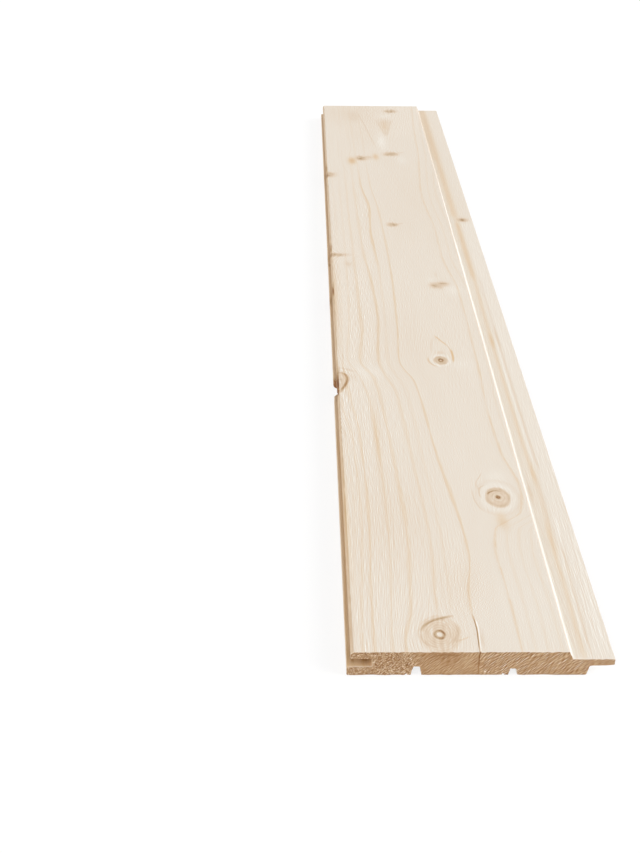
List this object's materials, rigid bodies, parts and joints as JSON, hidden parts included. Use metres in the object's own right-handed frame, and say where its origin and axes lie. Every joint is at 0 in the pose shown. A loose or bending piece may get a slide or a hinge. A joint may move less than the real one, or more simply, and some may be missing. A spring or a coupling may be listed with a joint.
{
  "type": "tongue and groove board",
  "caption": "Planed softwood panelling board with a groove on one edge, a tongue on the other, bevelled shadow gap lips and relief grooves in the back.",
  "frame": {"origin": "centre of the board's length and overall width, at the level of its back face, which it lies on", "axes": "+X across the board towards the tongue, +Y along the board, +Z out of the face side"},
  "size_m": [0.12, 0.8, 0.014],
  "materials": {
    "softwood": "matte"
  },
  "bodies": {
    "root": {"board": "softwood"}
  },
  "joints": []
}
